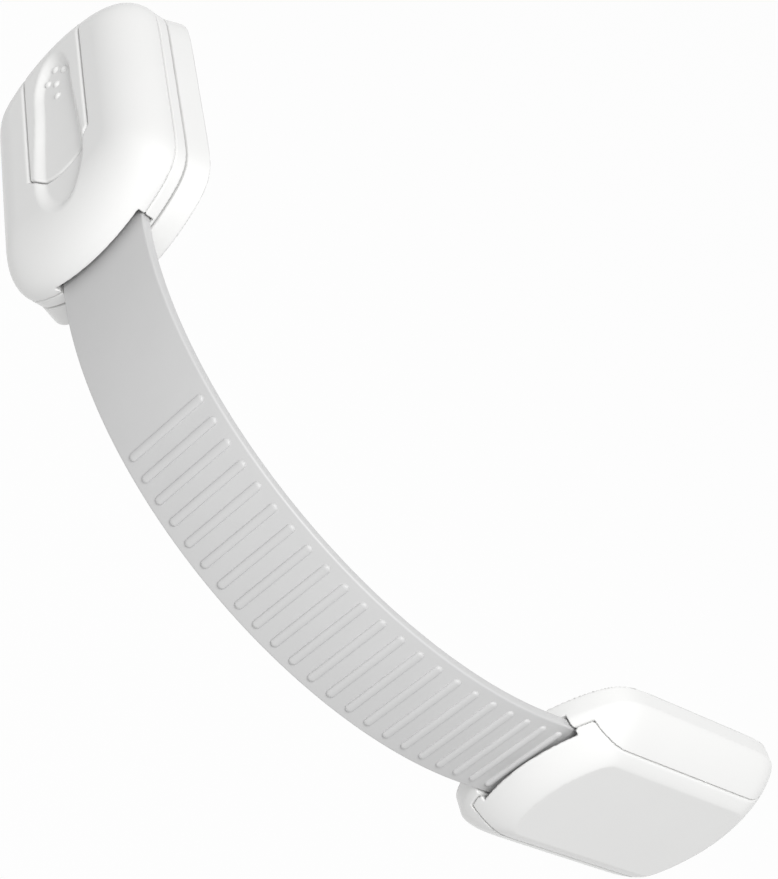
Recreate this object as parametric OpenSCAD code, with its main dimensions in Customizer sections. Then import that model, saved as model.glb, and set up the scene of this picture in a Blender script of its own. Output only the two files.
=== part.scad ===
// Adhesive cabinet safety lock: two stick-on housings joined by a ribbed flexible strap.
// The anchor housing clamps the strap under a hinged lid. The latch housing has a head that
// slides off its base once a button frees the spring catch.
// Millimetres, +Z up. The origin is the middle of the anchor pad's adhesive face.

/* [Housings] */
// Width of both housings
housing_w = 39; // [35:0.5:43]
// Length of both housings
housing_l = 58; // [54:0.5:64]
// Radius of the shallow arc at each end of a housing
end_r = 29; // [27:0.5:34]
// Radius of the housings' corners in plan
corner_r = 9; // [8.8:0.1:10]
// Wall of the moulded shells
wall = 1.8; // [1.4:0.1:2.2]
// Thickness of the adhesive foam pads
pad_t = 1; // [0.6:0.1:1.6]
// Distance of the pads' edge from the housing's edge
pad_inset = 2.2; // [1:0.1:4]

/* [Strap] */
// Width of the strap
strap_w = 20; // [18:0.5:21]
// Thickness of the strap between its ribs
strap_t = 1.8; // [1.4:0.1:2]
// Angle that the strap bends through between the housings
bend_angle = 96.5; // [60:0.5:120]
// Bend radius of the strap's outer face
bend_r = 70; // [55:1:90]
// Straight strap outside the anchor's mouth
strap_lead = 2.5; // [2:0.5:3]
// Distance of the strap's end from the lid's hinge
tail_gap = 4.6; // [2:0.1:8]
// Length of the strap's tongue inside the latch housing
strap_tongue = 15; // [14:0.5:16]
// Step down to the tongue on each face of the strap
tongue_step = 0.1; // [0.05:0.05:0.2]
// Number of ribs
rib_count = 32; // [12:1:33]
// Spacing of the ribs
rib_pitch = 4; // [3.8:0.05:4.2]
// Width of one rib
rib_w = 1.5; // [1:0.1:1.8]
// Height of one rib
rib_h = 0.5; // [0.3:0.05:0.6]
// Length of one rib across the strap
rib_l = 16.8; // [12:0.2:17.2]
// Distance of the first rib from the strap's end in the anchor
rib_start = 2.3; // [2:0.1:5]

/* [Anchor housing] */
// Height of the anchor over the furniture
anchor_h = 11.4; // [11:0.1:12.5]
// Height of the strap's outer face over the furniture at the anchor
anchor_strap_v = 5.5; // [5:0.1:6]
// Height at which the anchor's shoulders begin
anchor_shoulder_v = 4.3; // [4:0.1:5]
// Width of the sloping edge round the anchor's flat top
anchor_edge = 8.5; // [7.5:0.1:8.6]
// Extra length of the slope at the strap end of the anchor
anchor_front = 4; // [1:0.5:6]
// Roundness of the anchor's shoulder, 1 is a flat bevel and 2 is an ellipse
anchor_power = 1.3; // [1.1:0.05:2]
// Width of the lid set into the anchor
lid_w = 27; // [26:0.5:28.5]
// Diameter of the lid's hinge pin
lid_pin_d = 1.8; // [1.4:0.1:2]

/* [Latch housing] */
// Height of the latch over the furniture
latch_h = 15.6; // [15:0.1:17]
// Height of the top of the latch base
base_top_v = 5; // [4.8:0.1:5.2]
// Spread of the latch base's foot past the housing's outline
base_flare = 1.2; // [0.6:0.1:1.6]
// Thickness of the carrier under the strap
carrier_floor_t = 0.65; // [0.6:0.05:1]
// Height of the visible band of the carrier
band_h = 2.3; // [2.1:0.1:2.6]
// Width of the rounded edge of the cover
cover_edge = 8.4; // [7.4:0.1:8.8]
// Extra length of the rounding at the strap end of the cover
cover_front = 5; // [2:0.5:7]
// Roundness of the cover's edge, 2 is an ellipse
cover_power = 2; // [1.6:0.05:2.4]
// Width of the release button
button_w = 14.8; // [12.4:0.2:15.4]
// Distance of the button's front from the strap end of the latch
button_front = 19; // [17.5:0.5:20.5]
// Radius of the button's front
button_front_r = 9.7; // [8:0.1:14]
// Angle that the button is pressed through
button_press = 4; // [3:0.5:4.5]
// Depth of the finger dish
dish_depth = 1.2; // [0.6:0.1:1.4]
// Diameter of one grip dot
dot_d = 1.5; // [1:0.1:1.8]

/* [Hidden] */
$fn = 48;

// Clearances and overruns
part_gap = 0.15;
seat_gap = 0.2;
slit_gap = 0.3;
slide_gap = 0.25;
turn_gap = 0.3;
run_gap = 0.05;
over = 1;
least_r = 0.4;
half_share = 0.5;

// Plan of a housing: u runs in from the strap end, w runs across it, v is height
half_w = housing_w / 2;
fillet_w = half_w - corner_r;
fillet_u = end_r - sqrt(pow(end_r - corner_r, 2) - pow(fillet_w, 2));
fillet_angle = atan2(fillet_w, end_r - fillet_u);
arc_steps = 6;
corner_steps = 7;
edge_steps = 9;

// Heights of the latch's layers
band_v = [base_top_v + seat_gap, base_top_v + seat_gap + band_h];
strap_floor_v = band_v[0] + carrier_floor_t;
latch_strap_v = strap_floor_v + part_gap + strap_t;
base_floor_t = 1.2;
base_floor_v = pad_t + base_floor_t;
deck_share = 0.17;
deck_v = band_v[1] + deck_share * (latch_h - band_v[1]);
cover_wall_h = 0.6;
cover_wall_v = band_v[1] + cover_wall_h;
slot_gap = 0.8;
slot_v = latch_strap_v + slot_gap;

// Hinge of the anchor's lid: a barrel that fills the height over a floor
hinge_floor_t = 1.7;
barrel_r = (anchor_h - pad_t - hinge_floor_t - turn_gap) / 2;
hinge_v = anchor_h - barrel_r;
hinge_u = housing_l - turn_gap - barrel_r;
lug_at = 4.2;
lug_t = 2;
lug_w = [lug_at - lug_t / 2, lug_at + lug_t / 2];
lug_wall = 1.3;
lug_r = lid_pin_d / 2 + lug_wall;
pin_reach = 2;
pin_half = lug_w[1] + pin_reach;

// Strap places
strap_tail = hinge_u - barrel_r - turn_gap - tail_gap;
strap_side_gap = 0.4;
strap_cut = strap_w / 2 + strap_side_gap;
rib_root = 0.3;
rib_u = strap_tail - rib_start;
mouth_seat = 3;
hole_d = 3.4;
post_d = hole_d - 2 * part_gap;
post_w_share = 0.25;
post_w = strap_w * post_w_share;
post_u_share = 0.66;
post_u = strap_tongue * post_u_share;
boss_wall = 1.3;
boss_d = hole_d + 2 * boss_wall;
bend_at = [-housing_l / 2 - strap_lead, bend_r - anchor_strap_v];
latch_dir = [-cos(bend_angle), sin(bend_angle)];
latch_out = [-sin(bend_angle), -cos(bend_angle)];
latch_at = bend_at + latch_out * (bend_r - latch_strap_v) - latch_dir * mouth_seat;

// Strap channel and lid of the anchor
anchor_floor_v = anchor_strap_v - strap_t - seat_gap;
ledge_v = anchor_strap_v + seat_gap;
lid_v = ledge_v + part_gap;
lip_gap = 0.4;
lip_v = anchor_strap_v + rib_h + lip_gap;
lid_half = lid_w / 2;
lid_hollow_u = hinge_u - barrel_r - wall;
tooth_gap = 0.4;
tooth_w = rib_pitch - rib_w - 2 * tooth_gap;
tooth_v = anchor_strap_v + seat_gap;
clamp_w = rib_l / 2;
clamp_front = 7;
clamp_first = 3;
clamp_last = floor((rib_u - clamp_front) / rib_pitch - half_share);

// Rails of the latch base and the head's grooves on them
rail_stem = 2.4;
rail_head = 4.4;
rail_side_gap = 0.9;
rail_at = strap_cut + rail_side_gap + rail_head / 2;
rail_front = 8;
rail_back = 9;
rail_u = [rail_front, housing_l - rail_back];
rail_lip_t = 1;
rail_head_t = 0.8;
rail_v = [band_v[0] + rail_lip_t, band_v[0] + rail_lip_t + rail_head_t];
deck_gap = 0.45;
deck_inset = wall + deck_gap;

// Spring catch, and the window in the carrier that its tooth stands in
catch_w = 7;
catch_t = 1;
catch_v = base_top_v - part_gap;
catch_root_u = [14, 22];
catch_tip = 6;
catch_tip_u = housing_l - catch_tip;
tooth_back = 9;
tooth_l = 6;
tooth_u = [housing_l - tooth_back - tooth_l, housing_l - tooth_back];
tooth_h = 1.5;
tooth_top_v = catch_v + tooth_h;
window_u = [tooth_u[0] - 2 * turn_gap, tooth_u[1] + part_gap];
window_half = catch_w / 2 + turn_gap;

// Release button with its pivot and pusher
button_half = button_w / 2;
button_skin = 1.1;
plate_v = latch_h - dish_depth - button_skin;
pivot_in = 5;
pivot_u = button_front + pivot_in;
pivot_share = 0.44;
pivot_v = latch_h - pivot_share * (latch_h - band_v[1]);
pivot_d = 2.4;
ear_t = 1.6;
ear_gap = 0.4;
ear_half = button_half - ear_gap;
cheek_t = 1.8;
cheek_w = [button_half + slit_gap + part_gap, button_half + slit_gap + part_gap + cheek_t];
pusher_l = 2.6;
pusher_back = 0.8;
pusher_u = [tooth_u[1] - pusher_back - pusher_l, tooth_u[1] - pusher_back];
pusher_half = 2.2;
pusher_v = tooth_top_v + turn_gap;
button_fall = (housing_l - pivot_u) * sin(button_press);
button_lip_v = band_v[1] + button_fall + 2 * turn_gap;
sill_v = band_v[1] + turn_gap;
end_back = 6.2;
end_wall_t = 2.6;
deck_back = 4.6;
end_wall_v = max(plate_v - button_fall - turn_gap, deck_v);

// Finger dish: place from the far end or from the strap end, half length and half width
dish_far_back = 17;
dish_far = [housing_l - dish_far_back, 9.5, 5];
dish_near = [20, 12, 7];
dish_up = 1.6;
dot_h = 0.3;
dot_back = 15;
dot_row_u = housing_l - dot_back;
dot_pitch = 2.1;
lone_share = 1.65;

// Colours
white = [0.93, 0.93, 0.93];
off_white = [0.86, 0.86, 0.85];
strap_grey = [0.76, 0.77, 0.77];
foam_grey = [0.55, 0.56, 0.57];
steel = [0.66, 0.67, 0.69];
acetal = [0.82, 0.83, 0.80];

// One quarter of a housing's outline, drawn in by an inset
function fillet_at(inset) = max(corner_r - inset, least_r);
function quarter(inset) = concat(
    [for (k = [0 : arc_steps - 1]) let (a = fillet_angle * k / arc_steps)
        [end_r - (end_r - inset) * cos(a), (end_r - inset) * sin(a)]],
    [for (k = [0 : corner_steps]) let (a = fillet_angle + (90 - fillet_angle) * k / corner_steps)
        [fillet_u - fillet_at(inset) * cos(a), fillet_w + fillet_at(inset) * sin(a)]]);
function backwards(list) = [for (k = [len(list) - 1 : -1 : 0]) list[k]];
function without_first(list) = [for (k = [1 : len(list) - 1]) list[k]];

// The whole outline, pushed on from the strap end by a further amount
function outline(inset, front) = let (q = quarter(inset), r = backwards(q), ring = concat(q,
        [for (p = r) [housing_l - p[0], p[1]]],
        [for (p = without_first(q)) [housing_l - p[0], -p[1]]],
        backwards([for (p = without_first(q)) [p[0], -p[1]]])))
    [for (p = ring) [p[0] + front * (1 - p[0] / housing_l), p[1]]];

// A closed solid through a stack of rings, each a list of the same number of points
module loft(rings) {
    n = len(rings[0]);
    last = len(rings) - 1;
    polyhedron(
        points = [for (ring = rings) for (p = ring) p],
        faces = concat(
            [[for (j = [n - 1 : -1 : 0]) j]],
            [[for (j = [0 : n - 1]) last * n + j]],
            [for (k = [0 : last - 1]) for (j = [0 : n - 1]) let (i = (j + 1) % n)
                [k * n + i, (k + 1) * n + i, (k + 1) * n + j]],
            [for (k = [0 : last - 1]) for (j = [0 : n - 1]) let (i = (j + 1) % n)
                [k * n + i, (k + 1) * n + j, k * n + j]]),
        convexity = 6);
}

// A housing's rounded body: upright walls, then an edge that rolls in to a flat top
module pillow(low_v, wall_v, top_v, edge, front, power, inset) {
    function across(a) = pow(cos(a), 2 / power);
    function up(a) = pow(sin(a), 2 / power);
    rings = concat(
        [[for (p = outline(inset, 0)) [p[0], p[1], low_v]]],
        [for (k = [0 : edge_steps]) let (a = 90 * k / edge_steps, x = 1 - across(a))
            [for (p = outline(inset + (edge - inset) * x, front * x))
                [p[0], p[1], wall_v + (top_v - wall_v) * up(a)]]]);
    loft(rings);
}

// Flat plan of a housing with true arcs
module plan(inset) {
    fillet = fillet_at(inset);
    end_half = (end_r - inset) * sin(fillet_angle);
    for (s = [-1, 1])
        for (u = [fillet_u, housing_l - fillet_u])
            translate([u, s * fillet_w])
                circle(r = fillet);
    translate([fillet_u, -fillet_w - fillet])
        square([housing_l - 2 * fillet_u, 2 * (fillet_w + fillet)]);
    for (s = [-1, 1])
        translate([housing_l / 2, 0])
            intersection() {
                translate([s * (housing_l / 2 - end_r), 0])
                    circle(r = end_r - inset, $fn = 4 * $fn);
                translate([s * housing_l / 4, 0])
                    square([housing_l / 2 + over, 2 * end_half], center = true);
            }
}

module slab(inset, low_v, high_v) {
    translate([0, 0, low_v])
        linear_extrude(high_v - low_v)
            plan(inset);
}

// A box from one corner to the other
module block(low, high) {
    translate(low)
        cube(high - low);
}

// A round bar across the housing, centred on the middle plane
module bar(u, v, r, half) {
    translate([u, 0, v])
        rotate([90, 0, 0])
            cylinder(r = r, h = 2 * half, center = true);
}

module at_anchor() {
    translate([-housing_l / 2, 0, 0])
        rotate([90, 0, 0])
            children();
}

module at_latch() {
    translate([latch_at[0], latch_at[1], 0])
        rotate([0, 0, -bend_angle])
            rotate([90, 0, 0])
                rotate([0, 0, 180])
                    children();
}

module both_sides() {
    children();
    mirror([0, 1, 0])
        children();
}

module pad() {
    slab(pad_inset, 0, pad_t);
}

module anchor_body() {
    pillow(pad_t, anchor_shoulder_v, anchor_h, anchor_edge, anchor_front, anchor_power, 0);
}

module anchor_pad() {
    color(foam_grey)
        at_anchor()
            pad();
}

// Lug that carries the lid's hinge pin
module hinge_lug() {
    difference() {
        union() {
            intersection() {
                bar(hinge_u, hinge_v, lug_r, lug_w[1]);
                block([0, lug_w[0], 0], [housing_l, lug_w[1], anchor_h]);
            }
            block([hinge_u - lug_r, lug_w[0], pad_t], [hinge_u + lug_r, lug_w[1], hinge_v]);
        }
        bar(hinge_u, hinge_v, lid_pin_d / 2 + run_gap, lug_w[1] + over);
    }
}

module anchor_base() {
    color(white)
        at_anchor() {
            difference() {
                anchor_body();
                block([-over, -strap_cut, anchor_floor_v], [strap_tail + over, strap_cut, anchor_h + over]);
                block([-over, -lid_half - part_gap, ledge_v],
                    [housing_l + over, lid_half + part_gap, anchor_h + over]);
                bar(hinge_u, hinge_v, barrel_r + turn_gap, lid_half + part_gap);
            }
            both_sides()
                hinge_lug();
        }
}

// Block under the lid that presses the strap down
module lid_clamp() {
    block([rib_u - (clamp_last + 1) * rib_pitch, -clamp_w, lip_v],
        [rib_u - clamp_first * rib_pitch, clamp_w, anchor_h]);
}

// Teeth under the clamp that drop between the strap's ribs
module lid_teeth() {
    for (k = [clamp_first : clamp_last])
        translate([rib_u - (k + half_share) * rib_pitch - tooth_w / 2, -clamp_w, tooth_v])
            cube([tooth_w, 2 * clamp_w, lip_v - tooth_v + over]);
}

// Inside of the lid, between its skirts and up to its skin
module lid_hollow() {
    intersection() {
        pillow(-over, anchor_shoulder_v, anchor_h - wall, anchor_edge, anchor_front, anchor_power, wall);
        block([0, -lid_half + wall, 0], [lid_hollow_u, lid_half - wall, anchor_h]);
    }
}

// Room in the lid's barrel for a lug, from closed to wide open
module lug_slot() {
    block([hinge_u - lug_r - turn_gap, lug_w[0] - seat_gap, 0],
        [housing_l + over, lug_w[1] + seat_gap, hinge_v + lug_r + turn_gap]);
}

module anchor_lid() {
    color(white)
        at_anchor() {
            difference() {
                intersection() {
                    anchor_body();
                    union() {
                        block([-over, -lid_half, lid_v], [hinge_u, lid_half, anchor_h + over]);
                        bar(hinge_u, hinge_v, barrel_r, lid_half);
                    }
                }
                difference() {
                    lid_hollow();
                    lid_clamp();
                }
                block([-over, -strap_cut, 0], [lid_hollow_u, strap_cut, lip_v]);
                both_sides()
                    lug_slot();
                bar(hinge_u, hinge_v, lid_pin_d / 2, pin_half);
            }
            lid_teeth();
        }
}

module lid_pin() {
    color(steel)
        at_anchor()
            bar(hinge_u, hinge_v, lid_pin_d / 2, pin_half);
}

// Sector that the bent part of the strap fills, seen along the bend's axis
module bend_sector() {
    reach = 2 * bend_r;
    polygon([[0, 0], [0, -reach], [-reach * sin(bend_angle / 2), -reach * cos(bend_angle / 2)],
        [-reach * sin(bend_angle), -reach * cos(bend_angle)]]);
}

// The strap's edge-on profile: straight in the anchor, bent, then a tongue in the latch
module strap_side() {
    translate(bend_at) {
        intersection() {
            difference() {
                circle(r = bend_r, $fn = 4 * $fn);
                circle(r = bend_r - strap_t, $fn = 4 * $fn);
            }
            bend_sector();
        }
        translate([0, -bend_r])
            square([strap_lead + strap_tail, strap_t]);
        rotate(-bend_angle)
            translate([mouth_seat - strap_tongue, tongue_step - bend_r])
                square([strap_tongue, strap_t - 2 * tongue_step]);
    }
}

module rib() {
    side = rib_l / 2 - rib_w / 2;
    translate([0, 0, -rib_root])
        linear_extrude(rib_root + rib_h) {
            square([rib_w, 2 * side], center = true);
            for (s = [-1, 1])
                translate([0, s * side])
                    circle(r = rib_w / 2);
        }
}

// A rib at a distance along the strap from the anchor's mouth, less than zero inside it
module rib_along(s) {
    if (s < strap_lead)
        at_anchor()
            translate([-s, 0, anchor_strap_v])
                rib();
    else
        translate([bend_at[0], bend_at[1], 0])
            rotate([0, 0, -(s - strap_lead) / bend_r * 180 / PI])
                rotate([90, 0, 0])
                    translate([0, 0, bend_r])
                        rib();
}

module strap() {
    color(strap_grey)
        difference() {
            union() {
                translate([0, 0, -strap_w / 2])
                    linear_extrude(strap_w)
                        strap_side();
                for (k = [0 : rib_count - 1])
                    rib_along(k * rib_pitch + rib_start - strap_tail);
            }
            at_latch()
                both_sides()
                    translate([post_u, post_w, latch_strap_v - strap_t - over])
                        cylinder(d = hole_d, h = strap_t + 2 * over);
        }
}

module latch_pad() {
    color(foam_grey)
        at_latch()
            pad();
}

// T-shaped rail that the head slides on
module rail() {
    block([rail_u[0], rail_at - rail_stem / 2, base_floor_v],
        [rail_u[1], rail_at + rail_stem / 2, rail_v[1]]);
    block([rail_u[0], rail_at - rail_head / 2, rail_v[0]],
        [rail_u[1], rail_at + rail_head / 2, rail_v[1]]);
}

// Outside of the latch base, spreading towards its foot
module base_body() {
    loft([[for (p = outline(-base_flare, 0)) [p[0], p[1], pad_t]],
        [for (p = outline(0, 0)) [p[0], p[1], base_top_v]]]);
}

module latch_base() {
    root_half = catch_w / 2 + part_gap;
    color(white)
        at_latch() {
            difference() {
                base_body();
                slab(wall, base_floor_v, base_top_v + over);
            }
            both_sides()
                rail();
            both_sides()
                block([catch_root_u[0], root_half, base_floor_v],
                    [catch_root_u[1], root_half + wall, base_top_v]);
            block([catch_root_u[0] - part_gap - wall, -root_half - wall, base_floor_v],
                [catch_root_u[0] - part_gap, root_half + wall, base_top_v]);
        }
}

// Spring tongue with a ramped tooth, held in a pocket of the base
module spring_catch() {
    color(acetal)
        at_latch() {
            block([catch_root_u[0], -catch_w / 2, base_floor_v], [catch_root_u[1], catch_w / 2, catch_v]);
            block([catch_root_u[0], -catch_w / 2, catch_v - catch_t], [catch_tip_u, catch_w / 2, catch_v]);
            translate([0, catch_w / 2, 0])
                rotate([90, 0, 0])
                    linear_extrude(catch_w)
                        polygon([[tooth_u[0], catch_v - catch_t / 2], [tooth_u[0], catch_v],
                            [tooth_u[1] - catch_t, tooth_top_v], [tooth_u[1], tooth_top_v],
                            [tooth_u[1], catch_v - catch_t / 2]]);
        }
}

// Groove in the carrier that runs on a rail, open at the far end
module rail_groove() {
    stem = rail_stem / 2 + slide_gap;
    head = rail_head / 2 + slide_gap;
    block([rail_u[0] - slide_gap, rail_at - stem, 0], [housing_l + over, rail_at + stem, rail_v[1] + slide_gap]);
    block([rail_u[0] - slide_gap, rail_at - head, rail_v[0] - slide_gap],
        [housing_l + over, rail_at + head, rail_v[1] + slide_gap]);
}

module latch_carrier() {
    color(off_white)
        at_latch() {
            difference() {
                union() {
                    slab(0, band_v[0], band_v[1]);
                    slab(deck_inset, band_v[0], deck_v);
                }
                both_sides()
                    rail_groove();
                block([-over, -strap_cut, strap_floor_v],
                    [strap_tongue + over, strap_cut, deck_v + over]);
                block([window_u[0], -window_half, 0], [window_u[1], window_half, deck_v + over]);
                block([housing_l - deck_back, -button_half - slit_gap, band_v[1]],
                    [housing_l + over, button_half + slit_gap, deck_v + over]);
            }
            both_sides()
                translate([post_u, post_w, strap_floor_v - part_gap])
                    cylinder(d = post_d, h = deck_v + wall - strap_floor_v);
            intersection() {
                slab(end_back, deck_v - part_gap, end_wall_v);
                block([housing_l - end_back - end_wall_t, -ear_half, 0],
                    [housing_l, ear_half, latch_h]);
            }
        }
}

module cover_body() {
    pillow(band_v[1], cover_wall_v, latch_h, cover_edge, cover_front, cover_power, 0);
}

module cover_hollow() {
    pillow(band_v[1] - over, cover_wall_v, latch_h - wall, cover_edge, cover_front, cover_power, wall);
}

// Long oval dish for a fingertip, wider at the strap end
module finger_dish() {
    round_up = dish_up + dish_depth;
    spread = sqrt(1 - pow(dish_up / round_up, 2));
    translate([0, 0, latch_h + dish_up])
        hull()
            for (d = [dish_far, dish_near])
                translate([d[0], 0, 0])
                    scale([d[1] / spread, d[2] / spread, round_up])
                        sphere(r = 1, $fn = 32);
}

// Plan of the button, open at the far end, with a gap all round
module button_plan(gap) {
    half = button_half + gap;
    intersection() {
        union() {
            translate([button_front + button_front_r, 0])
                circle(r = button_front_r + gap);
            translate([button_front + button_front_r, -half])
                square([housing_l, 2 * half]);
        }
        translate([0, -half])
            square([2 * housing_l, 2 * half]);
    }
}

module latch_cover() {
    color(white)
        at_latch() {
            difference() {
                cover_body();
                cover_hollow();
                finger_dish();
                translate([0, 0, sill_v])
                    linear_extrude(latch_h)
                        button_plan(slit_gap);
                block([-over, -strap_cut, 0], [2 * wall + cover_front, strap_cut, slot_v]);
            }
            both_sides()
                difference() {
                    block([pivot_u - 2 * pivot_d, cheek_w[0], deck_v + turn_gap],
                        [pivot_u + 2 * pivot_d, cheek_w[1], latch_h - wall]);
                    bar(pivot_u, pivot_v, pivot_d / 2 + run_gap, half_w);
                }
            both_sides()
                translate([post_u, post_w, latch_strap_v + seat_gap])
                    difference() {
                        cylinder(d = boss_d, h = latch_h - wall - latch_strap_v - seat_gap);
                        translate([0, 0, -over])
                            cylinder(d = hole_d, h = deck_v + wall + over - latch_strap_v);
                    }
        }
}

// Grip dot, a low dome on the dish
module grip_dot(u, w) {
    translate([u, w, latch_h - dish_depth - dot_h])
        cylinder(d = dot_d, h = 2 * dot_h);
}

module release_button() {
    color(white)
        at_latch() {
            difference() {
                intersection() {
                    cover_body();
                    translate([0, 0, band_v[1]])
                        linear_extrude(latch_h)
                            button_plan(0);
                }
                pillow(-over, cover_wall_v, plate_v, cover_edge, cover_front, cover_power, wall);
                finger_dish();
                block([0, -half_w, 0], [housing_l + over, half_w, button_lip_v]);
            }
            both_sides() {
                block([pivot_u - pivot_d, ear_half - ear_t, pivot_v - pivot_d / 2],
                    [pivot_u + pivot_d, ear_half, plate_v + button_skin * half_share]);
                translate([pivot_u, cheek_w[1], pivot_v])
                    rotate([90, 0, 0])
                        cylinder(d = pivot_d, h = cheek_w[1] - ear_half + ear_t);
            }
            block([pusher_u[0], -pusher_half, pusher_v],
                [pusher_u[1], pusher_half, plate_v + button_skin * half_share]);
            for (k = [-1, 1])
                grip_dot(dot_row_u + dot_pitch, k * dot_pitch);
            for (k = [-lone_share, 0, 2])
                grip_dot(dot_row_u + k * dot_pitch, 0);
        }
}

anchor_pad();
anchor_base();
anchor_lid();
lid_pin();
strap();
latch_pad();
latch_base();
spring_catch();
latch_carrier();
latch_cover();
release_button();
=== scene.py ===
"""Dresses a packed cabinet safety lock: two stick-on housings joined by a ribbed strap.

The moulded shells are drawn as solid fields in a housing's own axes, in millimetres: u runs in
from the strap end, w runs across and v is the height over the furniture. Every field is negative
inside the plastic. One function turns a field into a smooth closed mesh in the row frame.
"""
import math
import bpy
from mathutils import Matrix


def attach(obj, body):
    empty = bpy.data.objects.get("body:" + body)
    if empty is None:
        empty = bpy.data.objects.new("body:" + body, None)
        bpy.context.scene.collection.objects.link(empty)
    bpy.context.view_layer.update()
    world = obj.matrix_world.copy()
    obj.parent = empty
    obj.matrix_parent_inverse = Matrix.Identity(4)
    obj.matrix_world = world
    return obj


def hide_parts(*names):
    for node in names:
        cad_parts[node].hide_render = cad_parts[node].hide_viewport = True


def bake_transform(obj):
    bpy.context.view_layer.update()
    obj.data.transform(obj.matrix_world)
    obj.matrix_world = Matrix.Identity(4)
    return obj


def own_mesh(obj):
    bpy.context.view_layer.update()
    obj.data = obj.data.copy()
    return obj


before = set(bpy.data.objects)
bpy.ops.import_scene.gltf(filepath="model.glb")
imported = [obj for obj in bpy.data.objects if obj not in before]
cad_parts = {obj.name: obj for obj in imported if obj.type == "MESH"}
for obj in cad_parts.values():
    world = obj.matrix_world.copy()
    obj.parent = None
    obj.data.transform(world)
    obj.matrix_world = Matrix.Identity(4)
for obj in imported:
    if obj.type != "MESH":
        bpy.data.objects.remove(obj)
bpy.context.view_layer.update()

from types import SimpleNamespace

import bpy
import numpy as np
from bpy.props import FloatProperty, FloatVectorProperty, IntProperty, PointerProperty
from mathutils import Vector

bl_info = {
    "name": "Cabinet safety lock",
    "version": (1, 0, 0),
    "blender": (4, 5, 0),
    "location": "View3D > Sidebar > Cabinet lock",
    "description": "Builds the visible pieces of a stick-on cabinet lock round its packed model",
    "category": "Object",
}

MM = 0.001

# Clearances between mouldings, in millimetres
PART_GAP = 0.15
SEAT_GAP = 0.2
SLIT_GAP = 0.3
SLIDE_GAP = 0.25
TURN_GAP = 0.3
RUN_GAP = 0.05

# Radii of edges and fillets, in millimetres
KEEN = 0.05
FINE = 0.1
SHARP = 0.15
CRISP = 0.2
EASED = 0.25
BROKEN = 0.3
SOFT = 0.35
BLUNT = 0.4
ROUND = 0.5

# How far open cuts run out, how far others run past their end, and how deep forms are set in
FAR = 60.0
OVERRUN = 1.0
SUNK = 0.5

# Spacing of the grids that the pieces are drawn on, finer where thin lines have to show clean
PITCH = 0.4
COVER_PITCH = 0.36
PAD_PITCH = 0.35
FINE_PITCH = 0.3

# Straight pieces that the strap's bend is drawn with, and the facets and fullness of one rib
BEND_STEPS = 96
EDGE_STEPS = 5
RIB_SEGMENTS, RIB_RINGS, RIB_FULLNESS = 24, 16, 0.7

# The stage, in metres, watts and degrees. The floor has its own tone in the light, and a glow
# that makes it look white
FLOOR_HALF, FLOOR_LEVEL = 6.0, -0.15
FLOOR_TONE, FLOOR_GLOW = 0.7, 0.97
SURROUND_LIGHT = 0.39
KEY_PLACE, KEY_AIM = (-0.46, -0.4, 0.7), (-0.045, 0.035, 0.0)
KEY_SIDE, KEY_POWER = 0.45, 7.0
CAMERA_LENS, CAMERA_CLIP = 84.6287, (0.01, 50.0)
CAMERA_PLACE = (-0.2813674, -0.1700303, 0.1566819)
CAMERA_TURN = (53.7301, -44.4682, -19.64)


def linear(hex_colour):
    """An sRGB hex colour as linear red, green and blue."""
    parts = [int(hex_colour[k:k + 2], 16) / 255 for k in (1, 3, 5)]
    return [c / 12.92 if c <= 0.04045 else ((c + 0.055) / 1.055) ** 2.4 for c in parts]


def length(name, millimetres, description):
    """A length that a user may change, given in millimetres."""
    return FloatProperty(name=name, description=description, default=millimetres * MM,
                         min=0.0, subtype="DISTANCE", unit="LENGTH", precision=5)


def colour(name, hex_colour, description):
    """A colour that a user may change, given as sRGB hex."""
    return FloatVectorProperty(name=name, description=description, default=linear(hex_colour),
                               size=3, min=0.0, max=1.0, subtype="COLOR")


class HousingSizes(bpy.types.PropertyGroup):
    """Plan of both housings"""
    width: length("Width", 39, "Width of both housings")
    along: length("Length", 58, "Length of both housings")
    end_radius: length("End radius", 29, "Radius of the shallow arc at each end")
    wall: length("Wall", 1.8, "Wall of the moulded shells")
    pad: length("Pad", 1, "Thickness of the adhesive foam pads")
    pad_inset: length("Pad inset", 2.2, "Distance of a pad's edge from the housing's edge")


class StrapSizes(bpy.types.PropertyGroup):
    """Strap and its ribs"""
    width: length("Width", 20, "Width of the strap")
    thick: length("Thickness", 1.8, "Thickness between the ribs")
    edge: length("Edge radius", 0.35, "Rounding of the strap's four long edges")
    bend_radius: length("Bend radius", 70, "Bend radius of the outer face")
    bend: FloatProperty(name="Bend", description="Angle that the strap bends through",
                        default=math.radians(96.5), subtype="ANGLE", unit="ROTATION")
    lead: length("Lead", 2.5, "Straight strap outside the anchor's mouth")
    tail: length("Tail", 44.4, "Length of strap inside the anchor")
    tongue: length("Tongue", 12, "Length of straight strap inside the latch")
    mouth_seat: length("Mouth seat", 3, "How far the bend runs into the latch's mouth")
    rib_count: IntProperty(name="Ribs", description="Number of ribs", default=32, min=1)
    rib_pitch: length("Rib pitch", 4, "Spacing of the ribs")
    rib_start: length("First rib", 2.3, "Distance of the first rib from the strap's tail")
    rib_width: length("Rib width", 1.5, "Width of one rib")
    rib_height: length("Rib height", 0.5, "Height of one rib")
    rib_length: length("Rib length", 16.8, "Length of one rib across the strap")


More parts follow.
